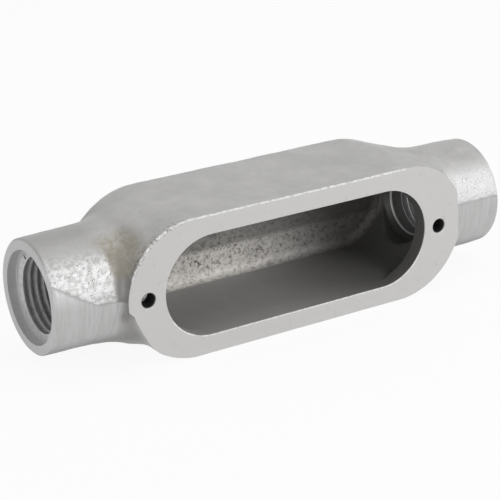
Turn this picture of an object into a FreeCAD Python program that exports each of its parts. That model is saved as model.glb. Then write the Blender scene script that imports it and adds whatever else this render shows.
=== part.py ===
"""A straight-through conduit body for half-inch conduit, as one hollow iron casting.

Frame: millimetres, +Z up. The origin is the centre of the flat cover seat, midway between the two
cover-screw holes. The opening faces -Y, the two threaded hubs lie along X, and the body rests on
the flat side that faces -Z. The hub axis runs along X at a depth behind the seat.
"""
import FreeCAD, Part
import math
import os
import Sketcher

NODE = "body_casting"
TOUCH = 0.01  # how close, in millimetres, counts as lying on a plane

# Places that several features share, worked out from the sizes below.
HUB_FACE = "sizes.overall_length / 2"
CAVITY_END = "(sizes.body_length / 2 - sizes.end_wall)"

# Driving dimensions in millimetres: name, value, meaning.
SIZES = (
    ("overall_length", 130.0, "hub face to hub face, along X"),
    ("body_length", 96.0, "rounded box, end to end, along X"),
    ("body_width", 35.3, "rounded box across its flat sides, along Z"),
    ("body_depth", 31.9, "cover seat to back, along Y"),
    ("back_edge_radius", 4.5, "rounding of the outer back edge"),
    ("hub_axis_depth", 16.9, "cover seat to the axis of the hubs"),
    ("opening_length", 76.3, "cover opening, end to end"),
    ("opening_width", 25.6, "cover opening, side to side"),
    ("lip_thickness", 3.95, "end lips that carry the cover screws"),
    ("back_wall", 2.6, "thickness of the back wall"),
    ("end_wall", 2.8, "thickness of the end walls beside the throats"),
    ("cavity_edge_radius", 2.0, "rounding where the cavity walls meet the back wall"),
    ("hub_mouth_radius", 13.7, "outside of the hub at its face"),
    ("hub_root_radius", 14.5, "outside of the hub where its flare starts"),
    ("hub_face_bevel", 0.7, "bevel of the hub's outer front edge"),
    ("flare_start", 14.5, "hub face to the start of the flare"),
    ("flare_radius", 17.8, "concave arc of the flare"),
    ("shoulder_arc_radius", 6.9, "convex arc that ends the flare"),
    ("shoulder_radius", 16.8, "distance of the shoulder from the hub axis"),
    ("valley_radius", 2.0, "fillet where hub and box meet"),
    ("bore_radius", 10.6, "threaded bore of the hub, at the root of its thread"),
    ("bore_depth", 14.8, "hub face to the stop at the bottom of the bore"),
    ("recess_radius", 11.4, "plain recess in front of the thread"),
    ("recess_depth", 2.4, "depth of the plain recess"),
    ("throat_radius", 8.3, "smooth throat between the bore and the cavity"),
    ("throat_bevel", 1.5, "bevel of the throat's inner edge"),
    ("screw_spacing", 85.4, "between the cover-screw holes"),
    ("screw_hole_radius", 2.0, "cover-screw holes"),
    ("screw_sink", 0.3, "chamfer at the mouths of the cover-screw holes"),
)


def make_sheet(doc):
    """Keep every driving dimension in a named cell."""
    sheet = doc.addObject("Spreadsheet::Sheet", "sizes")
    for row, (name, value, meaning) in enumerate(SIZES, start=1):
        sheet.set(f"A{row}", meaning)
        sheet.set(f"B{row}", str(value))
        sheet.setAlias(f"B{row}", name)
    doc.recompute()


def origin_plane(body, role):
    """One of the body's own origin planes."""
    return next(feature for feature in body.Origin.OriginFeatures if feature.Role == role)


def new_sketch(body, name, role, offset_axis=None, offset=None):
    """A sketch on an origin plane, moved along one of its own axes by a named distance."""
    sketch = body.newObject("Sketcher::SketchObject", name)
    sketch.AttachmentSupport = [(origin_plane(body, role), "")]
    sketch.MapMode = "FlatFace"
    if offset:
        sketch.setExpression(f"AttachmentOffset.Base.{offset_axis}", offset)
    return sketch


def constrain(sketch, expression, kind, *references):
    """Add a dimension to a sketch and tie it to an expression of the sheet's sizes."""
    start = float(sketch.evalExpression(expression))
    index = sketch.addConstraint(Sketcher.Constraint(kind, *references, start))
    sketch.setExpression(f"Constraints[{index}]", expression)


def draw_obround(sketch, half_centres, radius):
    """A slot outline about the sketch's origin: two straight sides and two round ends."""
    reach = float(sketch.evalExpression(half_centres))
    end = float(sketch.evalExpression(radius))
    up = FreeCAD.Vector(0, 0, 1)
    right = Part.Circle(FreeCAD.Vector(reach, 0, 0), up, end)
    left = Part.Circle(FreeCAD.Vector(-reach, 0, 0), up, end)
    corner = [FreeCAD.Vector(x, y, 0) for x, y in
              ((-reach, end), (reach, end), (reach, -end), (-reach, -end))]
    sketch.addGeometry(Part.LineSegment(corner[0], corner[1]), False)
    sketch.addGeometry(Part.ArcOfCircle(right, -math.pi / 2, math.pi / 2), False)
    sketch.addGeometry(Part.LineSegment(corner[2], corner[3]), False)
    sketch.addGeometry(Part.ArcOfCircle(left, math.pi / 2, 3 * math.pi / 2), False)
    for joint in ((0, 2, 1, 2), (1, 1, 2, 1), (2, 2, 3, 2), (3, 1, 0, 1)):
        sketch.addConstraint(Sketcher.Constraint("Tangent", *joint))
    sketch.addConstraint(Sketcher.Constraint("Equal", 1, 3))
    sketch.addConstraint(Sketcher.Constraint("Symmetric", 1, 3, 3, 3, -1, 1))
    sketch.addConstraint(Sketcher.Constraint("PointOnObject", 1, 3, -1))
    constrain(sketch, radius, "Radius", 1)
    constrain(sketch, half_centres, "DistanceX", -1, 1, 1, 3)


def draw_half_obround(sketch, half_centres, radius):
    """The -X half of a slot outline, closed by a straight line across its middle."""
    reach = float(sketch.evalExpression(half_centres))
    end = float(sketch.evalExpression(radius))
    left = Part.Circle(FreeCAD.Vector(-reach, 0, 0), FreeCAD.Vector(0, 0, 1), end)
    corner = [FreeCAD.Vector(x, y, 0) for x, y in
              ((0, end), (-reach, end), (-reach, -end), (0, -end))]
    sketch.addGeometry(Part.LineSegment(corner[0], corner[1]), False)
    sketch.addGeometry(Part.ArcOfCircle(left, math.pi / 2, 3 * math.pi / 2), False)
    sketch.addGeometry(Part.LineSegment(corner[2], corner[3]), False)
    sketch.addGeometry(Part.LineSegment(corner[3], corner[0]), False)
    for joint in ((0, 2, 1, 1), (1, 2, 2, 1)):
        sketch.addConstraint(Sketcher.Constraint("Tangent", *joint))
    for joint in ((2, 2, 3, 1), (3, 2, 0, 1)):
        sketch.addConstraint(Sketcher.Constraint("Coincident", *joint))
    sketch.addConstraint(Sketcher.Constraint("PointOnObject", 1, 3, -1))
    sketch.addConstraint(Sketcher.Constraint("PointOnObject", 3, 1, -2))
    sketch.addConstraint(Sketcher.Constraint("PointOnObject", 3, 2, -2))
    constrain(sketch, radius, "Radius", 1)
    constrain(sketch, half_centres, "DistanceX", 1, 3, -1, 1)


def draw_profile(sketch, corners):
    """A closed outline through corners (x, y, arc).

    x and y are expressions. arc is None for a straight edge to the next corner, or a pair: the
    radius expression and +1 or -1 for a centre to the left or right of the way there.
    """
    spots = [FreeCAD.Vector(float(sketch.evalExpression(x)), float(sketch.evalExpression(y)), 0)
             for x, y, arc in corners]
    first_end = []
    for index, (x, y, arc) in enumerate(corners):
        here, there = spots[index], spots[(index + 1) % len(spots)]
        if arc is None:
            sketch.addGeometry(Part.LineSegment(here, there), False)
            first_end.append(1)
            continue
        radius, side = float(sketch.evalExpression(arc[0])), arc[1]
        chord = there - here
        rise = math.sqrt(radius ** 2 - (chord.Length / 2) ** 2)
        across = FreeCAD.Vector(-chord.y, chord.x, 0).normalize() * rise * side
        centre = (here + there) / 2 + across
        angles = [math.atan2(spot.y - centre.y, spot.x - centre.x) for spot in (here, there)]
        circle = Part.Circle(centre, FreeCAD.Vector(0, 0, 1), radius)
        sketch.addGeometry(Part.ArcOfCircle(circle, *angles[::side]), False)
        first_end.append(1 if side > 0 else 2)
    for index, (x, y, arc) in enumerate(corners):
        before = index - 1 if index else len(corners) - 1
        last_end = 3 - first_end[before]
        sketch.addConstraint(
            Sketcher.Constraint("Coincident", before, last_end, index, first_end[index]))
        constrain(sketch, x, "DistanceX", -1, 1, index, first_end[index])
        constrain(sketch, y, "DistanceY", -1, 1, index, first_end[index])
        if arc:
            constrain(sketch, arc[0], "Radius", index)


def add_feature(body, kind, name, sketch, **settings):
    """A sketch-based feature with its plain settings, and sizes tied to expressions."""
    feature = body.newObject(kind, name)
    feature.Profile = sketch
    sketch.Visibility = False
    for key, setting in settings.items():
        if isinstance(setting, str) and setting.startswith("sizes."):
            feature.setExpression(key, setting)
        else:
            setattr(feature, key, setting)
    body.Document.recompute()
    return feature


def cut(body, kind, name, sketch, **settings):
    """A feature that removes material, checked to have removed some."""
    before = body.Shape.Volume
    feature = add_feature(body, kind, name, sketch, **settings)
    if feature.Shape.Volume >= before:
        raise RuntimeError(f"{name} cuts nothing")
    return feature


def mirror_across(body, name, feature=None):
    """Repeat a feature, or the whole half made so far, on the other side of the YZ plane."""
    mirrored = body.newObject("PartDesign::Mirrored", name)
    if feature:
        mirrored.Originals = [feature]
    else:
        mirrored.TransformMode = "Whole shape"
    mirrored.MirrorPlane = (origin_plane(body, "YZ_Plane"), [""])
    body.Tip = mirrored
    body.Document.recompute()


def edges_where(feature, test):
    """Names of the feature's edges for which test(edge) holds."""
    return [f"Edge{number}" for number, edge in enumerate(feature.Shape.Edges, start=1)
            if test(edge)]


def add_fillet(body, name, base, edge_names, radius):
    """Round some edges of the feature before."""
    fillet = body.newObject("PartDesign::Fillet", name)
    fillet.Base = (base, edge_names)
    fillet.setExpression("Radius", radius)
    body.Document.recompute()


def make_box(body):
    """The -X half of the rounded box, left deep enough here to hold the hub's flare."""
    outline = new_sketch(body, "box_outline", "XZ_Plane")
    draw_half_obround(outline, "(sizes.body_length - sizes.body_width) / 2", "sizes.body_width / 2")
    add_feature(body, "PartDesign::Pad", "box", outline, Reversed=True,
                Length="sizes.body_depth + sizes.shoulder_radius")


def make_hub(body):
    """The hub at -X, turned about the hub axis.

    The outside tapers towards the mouth. Towards the box it flares in two arcs that meet on a
    common tangent, and runs level from there to its end inside the box.
    """
    profile = new_sketch(body, "hub_profile", "XY_Plane", "y", "sizes.hub_axis_depth")
    arcs = "(sizes.flare_radius + sizes.shoulder_arc_radius)"
    turn = f"acos(1 - (sizes.shoulder_radius - sizes.hub_root_radius) / {arcs})"
    flare = f"{HUB_FACE} - sizes.flare_start"
    inside = "sizes.opening_length / 4 + sizes.opening_width / 2"
    draw_profile(profile, (
        (f"-({inside})", "0", None),
        (f"-({HUB_FACE})", "0", None),
        (f"-({HUB_FACE})", "sizes.hub_mouth_radius - sizes.hub_face_bevel", None),
        (f"-({HUB_FACE} - sizes.hub_face_bevel)", "sizes.hub_mouth_radius", None),
        (f"-({flare})", "sizes.hub_root_radius", ("sizes.flare_radius", 1)),
        (f"-({flare} - sizes.flare_radius * sin({turn}))",
         f"sizes.hub_root_radius + sizes.flare_radius * (1 - cos({turn}))",
         ("sizes.shoulder_arc_radius", -1)),
        (f"-({flare} - {arcs} * sin({turn}))", "sizes.shoulder_radius", None),
        (f"-({inside})", "sizes.shoulder_radius", None),
    ))
    add_feature(body, "PartDesign::Revolution", "hub", profile,
                ReferenceAxis=(profile, ["H_Axis"]), Angle=360.0)


def round_valleys(body):
    """Fillet the valley all round the foot of the hub."""
    joined = body.Tip
    round_end = joined.evalExpression("(sizes.body_length - sizes.body_width) / 2")

    def in_valley(edge):
        return edge.Curve.TypeId == "Part::GeomBSplineCurve" and abs(edge.CenterOfMass.x) > round_end

    add_fillet(body, "valleys", joined, edges_where(joined, in_valley), "sizes.valley_radius")


def trim_back(body):
    """Cut the box and the flares level at the back, and round the edge of that flat."""
    level = new_sketch(body, "back_level", "XZ_Plane", "z", "-sizes.body_depth")
    draw_profile(level, (
        (f"-{HUB_FACE}", "-sizes.body_width", None),
        (HUB_FACE, "-sizes.body_width", None),
        (HUB_FACE, "sizes.body_width", None),
        (f"-{HUB_FACE}", "sizes.body_width", None),
    ))
    trim = cut(body, "PartDesign::Pocket", "back_trim", level, Length="sizes.shoulder_radius")
    back = trim.evalExpression("sizes.body_depth")
    sides = edges_where(trim, lambda edge: edge.Curve.TypeId == "Part::GeomLine"
                        and edge.BoundBox.YMin > back - TOUCH and edge.BoundBox.ZLength < TOUCH)
    add_fillet(body, "back_edge", trim, sides, "sizes.back_edge_radius")


def cut_cavity(body):
    """The wireway behind the cover seat, as wide as the opening and undercut behind the lips."""
    outline = new_sketch(body, "cavity_outline", "XZ_Plane", "z", "-sizes.lip_thickness")
    draw_obround(outline, f"{CAVITY_END} - sizes.opening_width / 2", "sizes.opening_width / 2")
    depth = "sizes.body_depth - sizes.back_wall - sizes.lip_thickness"
    cavity = cut(body, "PartDesign::Pocket", "cavity", outline, Length=depth)
    bottom = cavity.evalExpression("sizes.body_depth - sizes.back_wall")
    on_bottom = edges_where(cavity, lambda edge: abs(edge.BoundBox.YMin - bottom) < TOUCH
                            and abs(edge.BoundBox.YMax - bottom) < TOUCH)
    add_fillet(body, "cavity_edge", cavity, on_bottom, "sizes.cavity_edge_radius")


def cut_opening(body):
    """The cover opening, down through the lips into the cavity."""
    outline = new_sketch(body, "opening_outline", "XZ_Plane")
    draw_obround(outline, "(sizes.opening_length - sizes.opening_width) / 2",
                 "sizes.opening_width / 2")
    cut(body, "PartDesign::Pocket", "opening", outline, Length="sizes.lip_thickness")


def cut_bores(body):
    """The threaded bore with its plain recess, and the smooth throat into the cavity."""
    profile = new_sketch(body, "bore_profile", "XY_Plane", "y", "sizes.hub_axis_depth")
    stop = f"{HUB_FACE} - sizes.bore_depth"
    flared_throat = "sizes.throat_radius + sizes.throat_bevel"
    inside = "(sizes.body_length - sizes.body_width) / 2"
    recess = f"{HUB_FACE} - sizes.recess_depth"
    draw_profile(profile, (
        (inside, "0", None),
        (HUB_FACE, "0", None),
        (HUB_FACE, "sizes.recess_radius", None),
        (recess, "sizes.recess_radius", None),
        (recess, "sizes.bore_radius", None),
        (stop, "sizes.bore_radius", None),
        (stop, "sizes.throat_radius", None),
        (f"{CAVITY_END} + sizes.throat_bevel", "sizes.throat_radius", None),
        (CAVITY_END, flared_throat, None),
        (inside, flared_throat, None),
    ))
    bore = cut(body, "PartDesign::Groove", "bore", profile,
               ReferenceAxis=(profile, ["H_Axis"]), Angle=360.0)
    mirror_across(body, "other_bore", bore)


def drill_screw_holes(body):
    """Two cover-screw holes through the lips, each with a small chamfer at the seat."""
    centre = new_sketch(body, "screw_holes_outline", "XZ_Plane")
    spot = FreeCAD.Vector(float(centre.evalExpression("sizes.screw_spacing / 2")), 0, 0)
    up = FreeCAD.Vector(0, 0, 1)
    radius = float(centre.evalExpression("sizes.screw_hole_radius"))
    for side in (-1, 1):
        centre.addGeometry(Part.Circle(spot * side, up, radius), False)
    centre.addConstraint(Sketcher.Constraint("Equal", 0, 1))
    centre.addConstraint(Sketcher.Constraint("Symmetric", 0, 3, 1, 3, -1, 1))
    centre.addConstraint(Sketcher.Constraint("PointOnObject", 1, 3, -1))
    constrain(centre, "sizes.screw_hole_radius", "Radius", 0)
    constrain(centre, "sizes.screw_spacing / 2", "DistanceX", -1, 1, 1, 3)
    holes = cut(body, "PartDesign::Pocket", "screw_holes", centre, Length="sizes.lip_thickness")
    on_seat = edges_where(holes, lambda edge: edge.Curve.TypeId == "Part::GeomCircle"
                          and abs(edge.Curve.Radius - radius) < TOUCH and edge.BoundBox.YMax < TOUCH)
    sink = body.newObject("PartDesign::Chamfer", "screw_sinks")
    sink.Base = (holes, on_seat)
    sink.setExpression("Size", "sizes.screw_sink")
    body.Document.recompute()


def check(doc, body):
    """Stop if any object failed, or if the casting is not one valid solid."""
    failed = [item.Name for item in doc.Objects
              if "Invalid" in item.State or "Error" in item.State]
    if failed:
        raise RuntimeError(f"failed objects: {failed}")
    if body.Shape.isNull() or not body.Shape.isValid() or len(body.Shape.Solids) != 1:
        raise RuntimeError("the casting is not one valid solid")


doc = FreeCAD.newDocument("conduit_body")
make_sheet(doc)
body = doc.addObject("PartDesign::Body", NODE)
body.Label = NODE
make_box(body)
make_hub(body)
round_valleys(body)
trim_back(body)
mirror_across(body, "other_half")
cut_cavity(body)
cut_opening(body)
cut_bores(body)
drill_screw_holes(body)
doc.recompute()
check(doc, body)
os.makedirs("parts", exist_ok=True)
body.Shape.exportStep(f"parts/{NODE}.step")
print(f"{NODE}: volume {body.Shape.Volume:.0f} mm3, {len(body.Shape.Faces)} faces")
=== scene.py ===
import math
from types import SimpleNamespace

import bpy
import numpy as np
from mathutils import Matrix, Vector


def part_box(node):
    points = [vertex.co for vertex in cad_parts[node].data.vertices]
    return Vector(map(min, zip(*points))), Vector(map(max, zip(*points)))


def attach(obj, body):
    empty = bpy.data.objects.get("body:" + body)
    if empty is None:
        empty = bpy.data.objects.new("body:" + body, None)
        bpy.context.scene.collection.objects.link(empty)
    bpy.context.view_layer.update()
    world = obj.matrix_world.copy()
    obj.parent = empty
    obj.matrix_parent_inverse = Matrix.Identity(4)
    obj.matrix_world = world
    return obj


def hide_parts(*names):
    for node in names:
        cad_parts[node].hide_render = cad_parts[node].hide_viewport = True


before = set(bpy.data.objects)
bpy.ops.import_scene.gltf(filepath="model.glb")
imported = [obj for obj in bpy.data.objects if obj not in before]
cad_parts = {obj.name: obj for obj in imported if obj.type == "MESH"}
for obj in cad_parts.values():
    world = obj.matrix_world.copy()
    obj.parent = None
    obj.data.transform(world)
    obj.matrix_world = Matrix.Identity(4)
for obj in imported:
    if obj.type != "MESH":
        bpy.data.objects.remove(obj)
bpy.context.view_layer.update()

MM = 0.001
NODE = "body_casting"
LOW, HIGH = (np.array(corner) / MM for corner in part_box(NODE))

# Sizes of the casting in millimetres, the same as in its solid.
HUB_FACE = HIGH[0]
DEPTH = HIGH[1]
HALF_WIDTH = HIGH[2]
BODY_LENGTH = 96.0
BACK_EDGE = 4.5
AXIS_DEPTH = 16.9
OPENING_LENGTH = 76.3
OPENING_WIDTH = 25.6
LIP = 3.95
BACK_WALL = 2.6
END_WALL = 2.8
CAVITY_EDGE = 2.0
MOUTH_RADIUS = 13.7
ROOT_RADIUS = 14.5
FLARE_START = 14.5
FLARE_RADIUS = 17.8
SHOULDER_ARC = 6.9
SHOULDER_RADIUS = 16.8
BORE_RADIUS = 10.6
BORE_DEPTH = 14.8
RECESS_RADIUS = 11.4
RECESS_DEPTH = 2.4
THROAT_RADIUS = 8.3
THROAT_BEVEL = 1.5
SCREW_SPACING = 85.4
SCREW_SINK = 0.3

ROUND_CENTRE = BODY_LENGTH / 2 - HALF_WIDTH
CAVITY_END = BODY_LENGTH / 2 - END_WALL
CAVITY_RADIUS = OPENING_WIDTH / 2
OPENING_CENTRE = OPENING_LENGTH / 2 - CAVITY_RADIUS
HUB_ROOT = HUB_FACE - FLARE_START

# How this casting departs from the drawn form. Lengths are in millimetres.
FACE_BEVEL = 0.45        # bevel at the hubs' outer edges, smaller than drawn
HOLE_RADIUS = 1.75       # cover-screw holes, tighter than drawn
VALLEY_BLEND = 2.6       # reach of the rounding where hub and box meet, at the left end
VALLEY_EXTRA = 1.8       # how much further it reaches at the right end
PARTING_Z = -2.2         # height of the line on the box where the mould halves met
LOWER_SLIDE = 0.9        # how far the box's lower half lies towards +X
LEFT_TRIM = 43.2         # distance of the cut on the box's left lower end from the centre
TRIM_WAY = (-0.8816, -0.472)    # the way that cut faces, along X and Z
HUB_PARTING = 0.5, 3.0   # height of the parting on the left hub's front and on the right one's
PARTING_RISE = 54.0, 0.6    # where it starts to rise towards the left mouth, and how steeply
HUB_STEP = 0.3           # how far the hubs' fronts step in below their parting
MOUTH_SWELL = 0.4        # what the hubs' radius gains by their faces
SHOULDER_SLIM = 1.0      # metal missing from the top of the right shoulder
FLAT_DISTANCE = 13.8     # from the hubs' axis to the flat on the right hub's front
FLAT_SLOPE = 0.07        # how much that flat leans with height
WAVINESS = 0.07          # height of the skin's long waves

# A low pad fills out the seat's right end: a round about this place, cut off level at its end.
PAD_X, PAD_Z, PAD_RADIUS = 34.5, 1.5, 15.4
PAD_END, PAD_DEPTH, PAD_DRAFT = 48.5, 3.6, 0.15

# The thread. Its foot and its tip are half widths, as shares of the pitch.
THREAD_CREST = 9.25
THREAD_PITCH = 1.8143
THREAD_START = HUB_FACE - BORE_DEPTH + 0.78
THREAD_END = HUB_FACE - RECESS_DEPTH - 0.02
THREAD_FOOT, THREAD_TIP = 0.47, 0.07
THREAD_STEPS = 72

# The grid on which the casting is worked out. It starts a little off the seat and the underside,
# so that none of its planes lies in a flat face.
GRID_STEP = 0.52
GRID_ENDS = 27.0         # where the fine ends start, on both sides of the coarser middle
GRID_MIDDLE = 50         # planes across the middle
GRID_FRONT = 0.83        # margin before the seat
GRID_UNDER = 0.81        # margin under the casting


# ---------------------------------------------------------------- the casting as a field

def ease(value, low, high):
    """0 below low, 1 above high, and 3t^2 - 2t^3 of the share t between them."""
    share = np.clip((value - low) / (high - low), 0.0, 1.0)
    return share * share * (3.0 - 2.0 * share)


def blend_min(first, second, reach):
    """The smaller of two distances, rounded where they differ by less than the reach."""
    share = np.clip(0.5 + 0.5 * (second - first) / reach, 0.0, 1.0)
    return second + (first - second) * share - reach * share * (1.0 - share)


def blend_max(first, second, reach):
    """The larger of two distances, rounded where they differ by less than the reach."""
    return -blend_min(-first, -second, reach)


def waves(x, y, z, length, seed):
    """Eight plane waves in seeded random directions, of about that length, summed and quartered."""
    random = np.random.default_rng(seed)
    total = 0.0
    for _ in range(8):
        way = random.normal(size=3)
        way *= 2 * math.pi / (np.linalg.norm(way) * length * random.uniform(0.7, 1.4))
        total = total + np.sin(way[0] * x + way[1] * y + way[2] * z + random.uniform(0, 6.28))
    return total / 4


def obround(x, z, centre, radius):
    """Distance from a slot outline: from the line between its arc centres, less its radius."""
    return np.hypot(np.maximum(np.abs(x) - centre, 0.0), z) - radius


def rounded_back(outline, y, back, radius):
    """An outline run along Y and closed at the back, with a quarter round of that radius there."""
    side, end = outline + radius, y - (back - radius)
    outer = np.hypot(np.maximum(side, 0.0), np.maximum(end, 0.0))
    return np.minimum(np.maximum(side, end), 0.0) + outer - radius


def box_outline(x, z):
    """The box's outline. Its lower half lies a little towards +X, and its left lower end is cut."""
    lower = 1.0 - ease(z, PARTING_Z - 1.0, PARTING_Z + 0.4)
    outline = obround(x - LOWER_SLIDE * lower, z, ROUND_CENTRE, HALF_WIDTH)
    cut = TRIM_WAY[0] * x + TRIM_WAY[1] * z - LEFT_TRIM - 4.0 * (1.0 - lower)
    return np.where(x < 0, blend_max(outline, cut, 1.5), outline)


def hub_radius(along):
    """Outside radius of a hub: a taper, a concave arc, a convex arc, then level."""
    turn = math.acos(1 - (SHOULDER_RADIUS - ROOT_RADIUS) / (FLARE_RADIUS + SHOULDER_ARC))
    meet = HUB_ROOT - FLARE_RADIUS * math.sin(turn)
    level = HUB_ROOT - (FLARE_RADIUS + SHOULDER_ARC) * math.sin(turn)
    taper = ROOT_RADIUS + (MOUTH_RADIUS - ROOT_RADIUS) * (along - HUB_ROOT) / FLARE_START
    taper = taper + MOUTH_SWELL * ease(along, HUB_ROOT, HUB_FACE)
    hollow = np.clip(HUB_ROOT - along, 0.0, FLARE_RADIUS)
    concave = ROOT_RADIUS + FLARE_RADIUS - np.sqrt(FLARE_RADIUS ** 2 - hollow ** 2)
    swell = np.clip(along - level, 0.0, SHOULDER_ARC)
    convex = SHOULDER_RADIUS - SHOULDER_ARC + np.sqrt(SHOULDER_ARC ** 2 - swell ** 2)
    return np.where(along > HUB_ROOT, taper, np.where(along > meet, concave, convex))


def above_parting(x, z):
    """Height over the line on a hub's front where the mould halves met: it rises to the left mouth."""
    left, right = HUB_PARTING
    start, slope = PARTING_RISE
    return z - np.where(x < 0, left + slope * np.maximum(-x - start, 0.0), right)


def valley(x, y, z):
    """1 where hub and box meet, and exp(-(h^2 + b^2) / 3) at the distances h and b from them."""
    hub = np.hypot(y - AXIS_DEPTH, z) - hub_radius(np.abs(x))
    box = rounded_back(box_outline(x, z), y, DEPTH, BACK_EDGE)
    return np.exp(-(hub ** 2 + box ** 2) / 3.0) * (y > 0.1) * ease(np.abs(x), 38.0, 44.0)


def hubs(x, y, z):
    """Distance to the hubs: from their axis, less their radius, stepped and slimmed in places."""
    along, around = np.abs(x), np.hypot(y - AXIS_DEPTH, z)
    front = 1.0 - ease(y, AXIS_DEPTH - 6.0, AXIS_DEPTH)
    lower = 1.0 - ease(above_parting(x, z), -0.35, 0.35)
    step = HUB_STEP * front * lower * ease(along, 47.0, 53.0)
    shoulder = ease(x, 31.0, 38.0) * (1.0 - ease(x, 41.0, 47.0))
    slimmer = SHOULDER_SLIM * shoulder * ease(z, -4.0, 6.0) * ease(y, 9.0, 15.0)
    return around - hub_radius(along) + step + slimmer


def seat_pad(x, y, z):
    """Distance to the pad at the seat's right end: a round cut off level, wider with depth."""
    outline = np.maximum(np.hypot(x - PAD_X, z - PAD_Z) - PAD_RADIUS, x - PAD_END)
    return np.maximum(outline - PAD_DRAFT * y, y - PAD_DEPTH) + 0.2


def outside(x, y, z):
    """The outer form: the box and both hubs run together, cut level at the seat and the back."""
    along, around = np.abs(x), np.hypot(y - AXIS_DEPTH, z)
    box = rounded_back(box_outline(x, z), y, DEPTH, BACK_EDGE)
    form = blend_min(box, hubs(x, y, z), VALLEY_BLEND + VALLEY_EXTRA * ease(x, 0.0, 20.0))
    form = blend_min(form, seat_pad(x, y, z), VALLEY_BLEND)
    flat = AXIS_DEPTH - y - FLAT_SLOPE * (z + 1.0) - FLAT_DISTANCE
    form = np.where(x > 50.0, blend_max(form, flat, 0.4), form)
    form = form + WAVINESS * waves(x, y, z, 11.0, 5) + 0.5 * WAVINESS * waves(x, y, z, 4.0, 9)
    mouth = MOUTH_RADIUS + MOUTH_SWELL - FACE_BEVEL
    bevel = (around + along - (mouth + HUB_FACE)) / math.sqrt(2)
    form = np.maximum(form, np.maximum(along - HUB_FACE, np.where(along > 55, bevel, -9.0)))
    form = np.maximum(form, np.abs(z) - HALF_WIDTH)
    form = blend_max(form, y - DEPTH, 0.6)
    return np.maximum(form, -y)


def inside(x, y, z):
    """The hollow: opening, cavity, throats, bores, recesses and cover-screw holes."""
    along, around = np.abs(x), np.hypot(y - AXIS_DEPTH, z)
    opening = np.maximum(obround(x, z, OPENING_CENTRE, CAVITY_RADIUS), y - LIP - 0.5)
    cavity = rounded_back(obround(x, z, CAVITY_END - CAVITY_RADIUS, CAVITY_RADIUS),
                          y, DEPTH - BACK_WALL, CAVITY_EDGE)
    cavity = cavity + 1.2 * WAVINESS * waves(x, y, z, 6.0, 21)
    cavity = np.maximum(cavity, LIP - y)
    throat = np.maximum(around - THROAT_RADIUS, ROUND_CENTRE - along)
    wide = around - THROAT_RADIUS - THROAT_BEVEL
    flare = np.maximum((wide + along - CAVITY_END) / math.sqrt(2),
                       np.maximum(wide, ROUND_CENTRE - along))
    bore = np.maximum(around - BORE_RADIUS, HUB_FACE - BORE_DEPTH - along)
    recess = np.maximum(around - RECESS_RADIUS, HUB_FACE - RECESS_DEPTH - along)
    hole = np.hypot(along - SCREW_SPACING / 2, z) - HOLE_RADIUS
    sink = (hole - SCREW_SINK + y) / math.sqrt(2)
    hole = np.maximum(np.minimum(hole, sink), y - LIP - 0.5)
    hollow = np.minimum(np.minimum(opening, cavity), np.minimum(throat, flare))
    return np.minimum(np.minimum(hollow, hole), np.minimum(bore, recess))


def casting(x, y, z):
    """Signed distance to the iron: inside the outer form and outside the hollow."""
    return np.maximum(outside(x, y, z), -inside(x, y, z))


def closed_in(field, low, span, along, low_value, high_value):
    """Where the field is zero on edges along one axis, by four false-position steps.

    Each step joins the values at the two ends of what is left by a straight line, and keeps the
    part where the sign changes.
    """
    share = low_value / (low_value - high_value)
    start, end = np.zeros(len(share)), np.ones(len(share))
    for _ in range(4):
        point = low.copy()
        point[:, along] += share * span
        found = field(*point.T)
        same = (found < 0) == (low_value < 0)
        start, end = np.where(same, share, start), np.where(same, end, share)
        low_value, high_value = np.where(same, found, low_value), np.where(same, high_value, found)
        share = start + (end - start) * np.clip(low_value / (low_value - high_value), 0.05, 0.95)
    point = low.copy()
    point[:, along] += share * span
    return point


def cell_counts(axes):
    """How many cells the grid has along each axis."""
    return tuple(len(axis) - 1 for axis in axes)


def crossings(field, axes, value, along):
    """The grid edges along one axis whose ends differ in sign.

    It gives each edge's crossing point, the field's slope there made one long, and the numbers of
    the four cells around the edge, in the order that turns their face outwards.
    """
    first = np.moveaxis(value, along, 0)[:-1]
    last = np.moveaxis(value, along, 0)[1:]
    place = np.argwhere(np.moveaxis((first < 0) != (last < 0), 0, along))
    ahead = place.copy()
    ahead[:, along] += 1
    low_value, high_value = value[tuple(place.T)], value[tuple(ahead.T)]
    low = np.stack([axes[i][place[:, i]] for i in range(3)], 1)
    span = axes[along][ahead[:, along]] - axes[along][place[:, along]]
    point = closed_in(field, low, span, along, low_value, high_value)
    slope = np.stack([field(*(point + push).T) - field(*(point - push).T)
                      for push in 0.02 * np.eye(3)], 1)
    slope /= np.linalg.norm(slope, axis=1, keepdims=True)
    second, third = (along + 1) % 3, (along + 2) % 3
    around = []
    for back_two, back_three in ((1, 1), (0, 1), (0, 0), (1, 0)):
        cell = place.copy()
        cell[:, second] -= back_two
        cell[:, third] -= back_three
        around.append(np.ravel_multi_index(tuple(cell.T), cell_counts(axes)))
    around = np.stack(around, 1)
    return point, slope, around, np.where((low_value < 0)[:, None], around, around[:, ::-1])


def nearest_to_planes(index, point, slope):
    """For each cell, the point nearest to the tangent planes of its crossings by least squares.

    It is drawn slightly to the crossings' mean, which keeps it steady where the planes are nearly
    one, and true corners stay sharp.
    """
    def total(weight):
        return np.bincount(index, weight)

    reach = np.sum(point * slope, 1)
    count = total(np.ones(len(index)))
    mean = np.stack([total(point[:, i]) / count for i in range(3)], 1)
    matrix = np.stack([np.stack([total(slope[:, i] * slope[:, j]) for j in range(3)], 1)
                       for i in range(3)], 1)
    right = np.stack([total(slope[:, i] * reach) for i in range(3)], 1)
    pull = 0.04 * count
    matrix += pull[:, None, None] * np.eye(3)
    return np.linalg.solve(matrix, (right + pull[:, None] * mean)[:, :, None])[:, :, 0]


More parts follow.
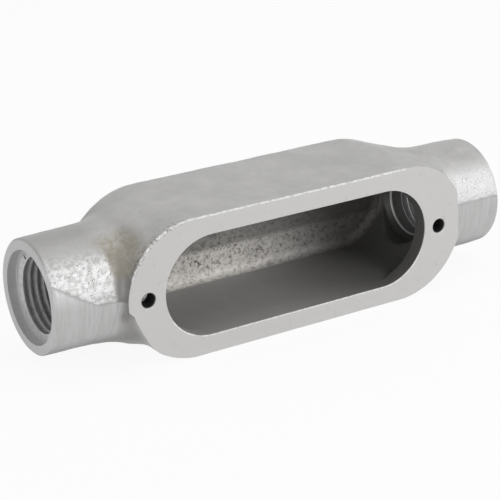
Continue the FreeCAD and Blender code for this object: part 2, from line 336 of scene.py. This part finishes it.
def contour(field, axes):
    """The surface where a field is zero, worked out on a grid.

    Each cell that it passes through gets one vertex. Each grid edge that it crosses gets one face,
    which joins the vertices of the four cells around that edge.
    """
    value = field(axes[0][:, None, None], axes[1][None, :, None], axes[2][None, None, :])
    point, slope, around, quads = zip(*(crossings(field, axes, value, i) for i in range(3)))
    used, index = np.unique(np.concatenate([c.T.ravel() for c in around]), return_inverse=True)
    vertex = nearest_to_planes(index, np.concatenate([np.tile(p, (4, 1)) for p in point]),
                               np.concatenate([np.tile(s, (4, 1)) for s in slope]))
    cell = np.unravel_index(used, cell_counts(axes))
    for i in range(3):
        vertex[:, i] = np.clip(vertex[:, i], axes[i][cell[i]], axes[i][cell[i] + 1])
    return vertex, np.searchsorted(used, np.concatenate(quads))


def make_piece(name, points, faces, material, sharp=38.0):
    """A mesh of vertices in millimetres and four-cornered faces, shaded smooth.

    Edges whose faces turn by more than the sharp angle, in degrees, stay hard.
    """
    mesh = bpy.data.meshes.new(name)
    mesh.vertices.add(len(points))
    mesh.vertices.foreach_set("co", np.ascontiguousarray(points * MM, np.float32).ravel())
    mesh.loops.add(faces.size)
    mesh.loops.foreach_set("vertex_index", faces.astype(np.int32).ravel())
    mesh.polygons.add(len(faces))
    mesh.polygons.foreach_set("loop_start", np.arange(0, faces.size, 4, dtype=np.int32))
    mesh.update(calc_edges=True)
    mesh.validate()
    mesh.polygons.foreach_set("use_smooth", np.ones(len(mesh.polygons), bool))
    mesh.set_sharp_from_angle(angle=math.radians(sharp))
    mesh.materials.append(material)
    piece = bpy.data.objects.new(name, mesh)
    bpy.context.scene.collection.objects.link(piece)
    return piece


def make_casting(material):
    """The one-piece iron body, finer at its ends than along its plain middle."""
    end = np.arange(GRID_ENDS, HUB_FACE + 1.0, GRID_STEP)
    middle = np.linspace(-GRID_ENDS, GRID_ENDS, GRID_MIDDLE)
    axes = (np.concatenate([-end[::-1], middle[1:-1], end]),
            np.arange(-GRID_FRONT, DEPTH + 1.0, GRID_STEP),
            np.arange(-HALF_WIDTH - GRID_UNDER, HALF_WIDTH + 1.0, GRID_STEP))
    points, faces = contour(casting, axes)
    points = np.clip(points, LOW, HIGH)
    piece = make_piece("iron_body", points, faces, material)
    x, y, z = points.T
    for name, value in (("valley", valley(x, y, z)), ("above_parting", above_parting(x, z))):
        attribute = piece.data.attributes.new(name, "FLOAT", "POINT")
        attribute.data.foreach_set("value", value.astype(np.float32))
    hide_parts(NODE)
    return piece


# ---------------------------------------------------------------- threads

def make_thread(name, material, way):
    """A ridge wound about the hubs' axis, towards +X or -X: x = start + pitch * turns.

    Its section is a low trapezium from the bore in to the crest. Over the first third of a turn the
    crest rises out of the bore, as the run-out of a tap leaves it, and at the mouth the recess cuts
    the ridge off level.
    """
    turns = (THREAD_END - THREAD_START) / THREAD_PITCH + THREAD_FOOT
    angle = np.linspace(0, 2 * math.pi * turns, int(THREAD_STEPS * turns) + 1)
    along = THREAD_START + THREAD_PITCH * angle / (2 * math.pi)
    height = THREAD_CREST + (BORE_RADIUS + 0.05 - THREAD_CREST) * (1.0 - ease(angle, 0, 2.1))
    sunk = np.full(len(angle), BORE_RADIUS + 0.12)
    radii = np.stack([sunk, height, height, sunk], 1)
    offsets = THREAD_PITCH * np.array([-THREAD_FOOT, -THREAD_TIP, THREAD_TIP, THREAD_FOOT])
    depth = np.minimum(along[:, None] + offsets, THREAD_END)
    side, up = radii * np.cos(angle)[:, None], radii * np.sin(angle)[:, None]
    points = np.stack([way * depth, AXIS_DEPTH + side, way * up], -1)
    corner = np.arange(4)
    after = (corner + 1) % 4
    ring = np.arange(len(angle))[:, None] * 4
    faces = np.stack([ring[:-1] + corner, ring[:-1] + after, ring[1:] + after, ring[1:] + corner], -1)
    faces = np.concatenate([faces.reshape(-1, 4), [[0, 3, 2, 1], ring[-1] + corner]])
    return make_piece(name, points.reshape(-1, 3), faces[:, ::-1], material, 30.0)


# ---------------------------------------------------------------- materials

class Wire:
    """A socket of a node tree. Arithmetic on wires adds Math nodes, and node() adds any other."""

    def __init__(self, tree, socket=None):
        self.tree, self.socket = tree, socket

    def node(self, kind, settings, inputs, output=0):
        """One node: its settings first, then the values or links of its sockets."""
        made = self.tree.nodes.new("ShaderNode" + kind)
        for name, value in settings.items():
            if name == "stops":
                ramp = made.color_ramp.elements
                while len(ramp) < len(value):
                    ramp.new(1.0)
                for stop, (place, shade) in zip(ramp, value):
                    stop.position, stop.color = place, shade
            else:
                setattr(made, name, value)
        for name, value in inputs.items():
            if isinstance(value, Wire):
                self.tree.links.new(value.socket, made.inputs[name])
            else:
                made.inputs[name].default_value = value
        return Wire(self.tree, made.outputs[output])

    def math(self, operation, *values, clamp=False):
        """A Math node with that operation."""
        return self.node("Math", {"operation": operation, "use_clamp": clamp}, dict(enumerate(values)))

    def __add__(self, other):
        return self.math("ADD", self, other)

    def __radd__(self, other):
        return self.math("ADD", other, self)

    def __sub__(self, other):
        return self.math("SUBTRACT", self, other)

    def __rsub__(self, other):
        return self.math("SUBTRACT", other, self)

    def __mul__(self, other):
        return self.math("MULTIPLY", self, other)

    def __rmul__(self, other):
        return self.math("MULTIPLY", other, self)

    def size(self):
        """This number without its sign."""
        return self.math("ABSOLUTE", self)

    def larger(self, other):
        """The larger of this number and another."""
        return self.math("MAXIMUM", self, other)

    def length(self, other):
        """The square root of the sum of both squares."""
        return self.math("SQRT", self * self + other * other)

    def clamp(self):
        """This number, kept between 0 and 1."""
        return self.math("ADD", self, 0.0, clamp=True)

    def ease(self, low, high):
        """0 at low and 1 at high, smooth between; low may be the larger."""
        if low > high:
            return 1.0 - self.ease(high, low)
        return self.node("MapRange", {"interpolation_type": "SMOOTHSTEP"},
                         {"Value": self, "From Min": low, "From Max": high})

    def noise(self, scale, detail=3.0, roughness=0.55):
        """Noise with a grain of about 1 / scale millimetres, read at this vector."""
        return self.node("TexNoise", {}, {"Vector": self, "Scale": scale, "Detail": detail,
                                          "Roughness": roughness})

    def stretch(self, *factors):
        """This vector with its parts multiplied one by one."""
        return self.node("VectorMath", {"operation": "MULTIPLY"}, {0: self, 1: factors})

    def specks(self, scale):
        """Distance to the nearest of random points, about 1 / scale millimetres apart."""
        return self.node("TexVoronoi", {}, {"Vector": self, "Scale": scale})

    def tint(self, share, other):
        """This colour, mixed towards another by a share."""
        return self.node("Mix", {"data_type": "RGBA"}, {0: share, 6: self, 7: other}, 2)

    def tinted(self, layers):
        """This colour under one layer after another, each a share and a colour."""
        colour = self
        for share, other in layers:
            colour = colour.tint(share, other)
        return colour

    def finish(self, kind):
        """Join this shader to the tree's output, of a material or of the world."""
        output = self.tree.nodes.new("ShaderNodeOutput" + kind)
        self.tree.links.new(self.socket, output.inputs["Surface"])


def empty_tree(owner):
    """Clear the node tree of a material or a world, and give a wire to start from."""
    owner.use_nodes = True
    owner.node_tree.nodes.clear()
    return Wire(owner.node_tree)


def places(start):
    """The place on the object in millimetres, as a vector and as x, y and z."""
    metres = start.node("TexCoord", {}, {}, "Object")
    place = start.node("VectorMath", {"operation": "SCALE"}, {0: metres, "Scale": 1 / MM})
    return place, [start.node("SeparateXYZ", {}, {0: place}, i) for i in range(3)]


def grey(level, warm=0.0):
    """A grey of that level, with a small share more red and less blue."""
    return (level * (1 + warm), level, level * (1 - 1.3 * warm), 1.0)


def skin_grain(place):
    """The cast skin's patterns, from the broadest noise to the finest, its pits and its streaks."""
    return SimpleNamespace(
        broad=place.noise(0.10, 2.0),
        patch=place.noise(0.42, 3.0),
        blotch=place.noise(0.85, 4.0, 0.62),
        grain=place.noise(1.7, 4.0, 0.62),
        fine=place.noise(4.5, 3.0, 0.6),
        pit=place.specks(1.1).ease(0.24, 0.10),
        streak=place.stretch(1.5, 0.12, 0.12).noise(1.0, 3.0))


def iron_areas(start, x, y, z, skin):
    """Distances on the casting in millimetres, and its areas: 1 within and 0 elsewhere."""
    at = SimpleNamespace(x=x, y=y, z=z, along=x.size(), around=(y - AXIS_DEPTH).length(z))
    at.outline = (at.along - ROUND_CENTRE).larger(0.0).length(z)
    at.valley = start.node("Attribute", {"attribute_name": "valley"}, {}, "Fac")
    parting = start.node("Attribute", {"attribute_name": "above_parting"}, {}, "Fac")

    # The hubs' fronts: a grained band over the parting with a painted highlight, with a ragged edge,
    # and a ground area below.
    at.front = y.ease(AXIS_DEPTH - 1.0, AXIS_DEPTH - 5.0)
    ragged = (parting + 1.4 * (skin.blotch - 0.5)).ease(-0.3, 0.3)
    at.band = at.front * z.ease(13.0, 8.5) * at.along.ease(49.2, 50.6) * ragged
    at.ground = at.front * parting.ease(0.2, -0.3) * at.along.ease(47.0, 50.0)

    # The hollow and its back wall.
    wall = DEPTH - BACK_WALL
    at.hollow = at.outline.ease(15.2, 14.6) * y.ease(0.1, 0.5) * y.ease(DEPTH - 1.0, DEPTH - 1.6)
    at.back_wall = at.hollow * y.ease(wall - 2.6, wall - 1.2)

    # What was machined: the seat, the hubs' faces and the bores.
    at.seat = y.ease(0.10, 0.03)
    at.mouth = at.along.ease(HUB_FACE - 0.12, HUB_FACE - 0.04)
    at.bore = (RECESS_RADIUS + 0.35 - at.around).ease(0.0, 0.2) * at.along.ease(50.0, 50.1)
    at.bore = at.bore * (HUB_FACE - 0.02 - at.along).ease(0.0, 0.05)
    at.plain = (at.seat + at.mouth + at.bore).clamp()
    return at


def painted_shade_layers(at, skin):
    """Painted shade on the outer skin: darker in the valleys, on top of the left hub and under both
    hubs.
    """
    left_top = at.x.ease(-44.0, -53.0) * at.z.ease(5.0, 11.0)
    under = at.z.ease(-7.0, -12.0) * at.along.ease(40.0, 46.0)
    return [(at.valley * (0.4 + 0.5 * skin.patch), grey(0.19, 0.03)),
            (left_top * 0.6, grey(0.29, 0.01)),
            (under * 0.9, grey(0.20, 0.01))]


def crease_shade_and_dirt_layers(at, skin):
    """Painted shade darkens a crease on the left hub's front, and brown dirt lies above it."""
    crease = at.x.ease(-46.2, -47.4) * at.x.ease(-50.6, -49.6) * at.front
    crease = crease * at.z.ease(-7.0, -3.0) * at.z.ease(13.0, 8.0)
    brown = at.x.ease(-53.0, -49.0) * at.x.ease(-40.0, -44.0) * at.y.ease(13.0, 9.0)
    brown = brown * at.z.ease(4.0, 8.0) * at.z.ease(17.0, 14.0)
    # The crease's dark grey is painted shade; the brown above it is dirt.
    return [(crease * (0.6 + 0.8 * (skin.patch - 0.3)).clamp(), grey(0.17, 0.03)),
            (brown * (0.5 + 0.5 * skin.blotch.ease(0.40, 0.60)) * 0.8, (0.23, 0.205, 0.155, 1.0))]


def front_layers(at, skin):
    """The bright band, grained skin with a painted highlight, is blotched and pitted at the left and
    nearly even at the right.

    Under it, the ground area has light streaks round the hub.
    """
    left = at.x.ease(20.0, -20.0)
    pits = at.band * (0.15 + 0.5 * left) * skin.pit * skin.blotch.ease(0.62, 0.46)
    streaks = at.ground * at.z.ease(-11.5, -7.5) * (0.4 + 0.6 * skin.streak.ease(0.35, 0.65))
    # The band's light grey is partly a painted highlight on the grained skin.
    return [(at.band * (0.8 + left * (0.75 * skin.blotch.ease(0.36, 0.60) - 0.55)), grey(0.70)),
            (pits, grey(0.20, 0.03)),
            (streaks, grey(0.50))]


def hollow_layers(start, at, skin):
    """Painted shade darkens the hollow to the right and in the throats, each with a painted highlight
    on its edge inside.

    Its back wall is speckled, with a painted highlight near the long sides and a painted shadow above
    a ragged line.
    """
    speckle = start.node("ValToRGB", {"stops": [(0.37, grey(0.17, 0.05)), (0.48, grey(0.66, 0.04)),
                                                (0.62, grey(0.86, 0.03))]},
                         {0: 0.6 * skin.blotch + 0.2 * skin.grain + 0.2 * skin.patch})
    # Painted highlight along the back wall's long sides.
    by_the_sides = at.back_wall * at.z.size().ease(9.8, 11.4)
    # Painted shadow of the upper lip, above a ragged line.
    above = at.back_wall * (at.z + 6.0 * (skin.blotch - 0.5)).ease(-5.2, -4.4)
    # Painted shade to the right of the hollow and in the throats.
    right = at.hollow * at.x.ease(-6.0, 34.0)
    throat = (THROAT_RADIUS + THROAT_BEVEL + 0.5 - at.around).ease(0.0, 0.2)
    throat = throat * at.along.ease(40.0, 40.5) * at.along.ease(50.1, 50.0)
    throat = throat * at.outline.ease(14.5, 15.0)
    # Painted highlight on each throat's inner edge.
    edge = throat * (at.along - CAVITY_END - THROAT_BEVEL).size().ease(0.35, 0.15)
    return [(at.hollow, grey(0.35, 0.015)),
            (at.back_wall, speckle),
            (by_the_sides * 0.35, grey(0.80, 0.03)),
            (above * 0.6, grey(0.12, 0.04)),
            ((right * 0.85).larger(throat), grey(0.07, 0.03)),
            (edge, grey(0.60))]


def machined_layers(at, skin):
    """The bores, the seat with its faint stains, and the hubs' faces are cleaner and lighter."""
    return [(at.bore * 0.8, grey(0.58)),
            (at.seat * 0.95, grey(0.555, 0.012)),
            (at.seat * skin.patch.ease(0.58, 0.70) * 0.3, grey(0.42)),
            (at.mouth * 0.8, grey(0.50))]


def edge_layers(at, skin):
    """Burrs with a painted highlight on the seat's upper and the opening's lower edge, nicks, and
    screw holes darkened by painted shade.
    """
    edge = at.outline - HALF_WIDTH
    upper = edge.ease(-0.42, -0.25) * at.y.ease(0.6, 0.3) * at.z.ease(4.0, 8.0) * at.x.ease(33.0, 30.0)
    rim = (at.along - OPENING_CENTRE).larger(0.0).length(at.z) - CAVITY_RADIUS
    lower = at.seat * rim.ease(0.45, 0.2) * at.z.ease(-4.0, -8.0)
    # The burrs' light grey is a painted highlight.
    burr_and_highlight = (upper + lower).clamp() * skin.blotch.ease(0.40, 0.52)
    nick = edge.ease(-0.9, -0.3) * at.y.ease(2.4, 1.2) * at.z.ease(3.0, 6.0) * at.x.ease(-30.0, -35.0)
    # Painted shade darkens the screw holes.
    hole = (at.along - SCREW_SPACING / 2).length(at.z).ease(HOLE_RADIUS + 0.25, HOLE_RADIUS + 0.12)
    hole = hole * at.y.ease(0.05, 0.3) * at.y.ease(LIP + 1.0, LIP)
    return [(burr_and_highlight * 0.8, grey(0.86)),
            (nick * skin.grain.ease(0.53, 0.60) * 0.8, grey(0.11, 0.04)),
            (hole, grey(0.03))]


def make_iron():
    """As-cast iron in a thin silver coat: grained outside, ground on the seat, rough within."""
    material = bpy.data.materials.new("cast_iron_body")
    start = empty_tree(material)
    place, (x, y, z) = places(start)
    skin = skin_grain(place)
    at = iron_areas(start, x, y, z, skin)

    tone = 0.36 * skin.patch + 0.44 * skin.broad + 0.2 * skin.grain
    stops = [(0.32, grey(0.34, 0.01)), (0.68, grey(0.465, 0.01))]
    colour = start.node("ValToRGB", {"stops": stops}, {0: tone})
    colour = colour.tinted(painted_shade_layers(at, skin) + crease_shade_and_dirt_layers(at, skin) + front_layers(at, skin)
                           + hollow_layers(start, at, skin) + machined_layers(at, skin)
                           + edge_layers(at, skin))

    rough = 0.44 + 0.22 * (skin.grain - 0.5) + 0.2 * (skin.patch - 0.5)
    rough = rough + 0.14 * at.hollow - 0.05 * at.plain - 0.08 * at.band
    relief = 1.0 + 2.2 * at.band + 3.0 * at.back_wall - 0.6 * at.ground - 0.3 * at.hollow
    height = (0.07 * skin.grain + 0.02 * skin.fine - 0.04 * skin.pit) * relief
    height = height * (1.0 - 0.9 * at.plain) + 0.05 * skin.streak * at.ground
    bump = start.node("Bump", {}, {"Strength": 1.0, "Distance": MM, "Height": height})
    start.node("BsdfPrincipled", {}, {"Base Color": colour, "Metallic": 0.35,
                                      "Roughness": rough.clamp(), "Normal": bump}).finish("Material")
    return material


def make_cut_iron():
    """Freshly cut iron of the threads: smoother and cleaner than the cast skin."""
    material = bpy.data.materials.new("cut_iron_thread")
    start = empty_tree(material)
    place, _ = places(start)
    patch = place.noise(0.8, 3.0)
    fine = place.noise(5.0, 3.0)
    colour = start.node("ValToRGB", {"stops": [(0.3, grey(0.44)), (0.7, grey(0.62))]}, {0: patch})
    rough = (0.34 + 0.15 * (fine - 0.5)).clamp()
    bump = start.node("Bump", {}, {"Strength": 1.0, "Distance": MM, "Height": 0.01 * fine})
    start.node("BsdfPrincipled", {}, {"Base Color": colour, "Metallic": 0.5, "Roughness": rough,
                                      "Normal": bump}).finish("Material")
    return material


def plainly_seen(start):
    """1 where the camera, a reflection or a clear piece looks, 0 where a surface gathers light."""
    rays = [start.node("LightPath", {}, {}, "Is %s Ray" % kind)
            for kind in ("Camera", "Glossy", "Transmission")]
    return (rays[0] + rays[1] + rays[2]).clamp()


def make_floor(level, shadow=0.08):
    """A wide plain floor, white to the camera and to reflections but for a share of shadow."""
    material = bpy.data.materials.new("plain_floor")
    start = empty_tree(material)
    matt = start.node("BsdfDiffuse", {}, {"Color": grey(0.80)})
    glow = start.node("Emission", {}, {"Color": grey(1.0), "Strength": 1.0})
    share = plainly_seen(start) * (1.0 - shadow)
    start.node("MixShader", {}, {0: share, 1: matt, 2: glow}).finish("Material")
    reach = 3000.0
    corners = np.array([[-reach, -reach, level], [reach, -reach, level],
                        [reach, reach, level], [-reach, reach, level]])
    floor = make_piece("floor", corners, np.array([[0, 1, 2, 3]]), material)


# ---------------------------------------------------------------- light and camera

def make_light(name, place, target, size, power):
    """A soft square lamp that faces a point; places in millimetres."""
    lamp = bpy.data.lights.new(name, "AREA")
    lamp.shape, lamp.size, lamp.energy = "SQUARE", size * MM, power
    light = bpy.data.objects.new(name, lamp)
    light.location = Vector(place) * MM
    light.rotation_euler = (Vector(target) - Vector(place)).to_track_quat("-Z", "Y").to_euler()
    bpy.context.scene.collection.objects.link(light)


def make_world(strength):
    """White to the camera and to reflections, and an even soft light otherwise."""
    world = bpy.data.worlds.new("soft_room")
    start = empty_tree(world)
    level = strength + plainly_seen(start) * (1.0 - strength)
    start.node("Background", {}, {"Color": grey(1.0), "Strength": level}).finish("World")
    bpy.context.scene.world = world


def make_camera(place, target, roll, lens):
    """A long lens that looks at the target, rolled by a small angle in degrees."""
    data = bpy.data.cameras.new("camera")
    data.lens, data.sensor_width = lens, 36.0
    data.clip_start, data.clip_end = 0.01, 20.0
    camera = bpy.data.objects.new("camera", data)
    turn = (Vector(target) - Vector(place)).to_track_quat("-Z", "Y").to_matrix()
    turn = turn @ Matrix.Rotation(math.radians(roll), 3, "Z")
    camera.matrix_world = Matrix.Translation(Vector(place) * MM) @ turn.to_4x4()
    bpy.context.scene.collection.objects.link(camera)
    bpy.context.scene.camera = camera


# ---------------------------------------------------------------- the scene

cut_iron = make_cut_iron()
pieces = [make_casting(make_iron()),
          make_thread("thread_right", cut_iron, 1),
          make_thread("thread_left", cut_iron, -1)]
for piece in pieces:
    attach(piece, "root")

make_floor(LOW[2] - 0.02)
make_world(0.55)
make_light("key", place=(250, -610, 360), target=(0, 10, 0), size=300, power=2.2)
make_light("top", place=(180, 40, 700), target=(0, 15, 0), size=450, power=1.0)
make_light("side", place=(-700, -260, 60), target=(-40, 15, 0), size=300, power=1.25)
make_camera(place=(-225.53, -323.8, 163.79), target=(-3.85, 16.87, -1.84),
            roll=-0.26, lens=126.6)
bpy.context.scene.view_settings.view_transform = "Standard"
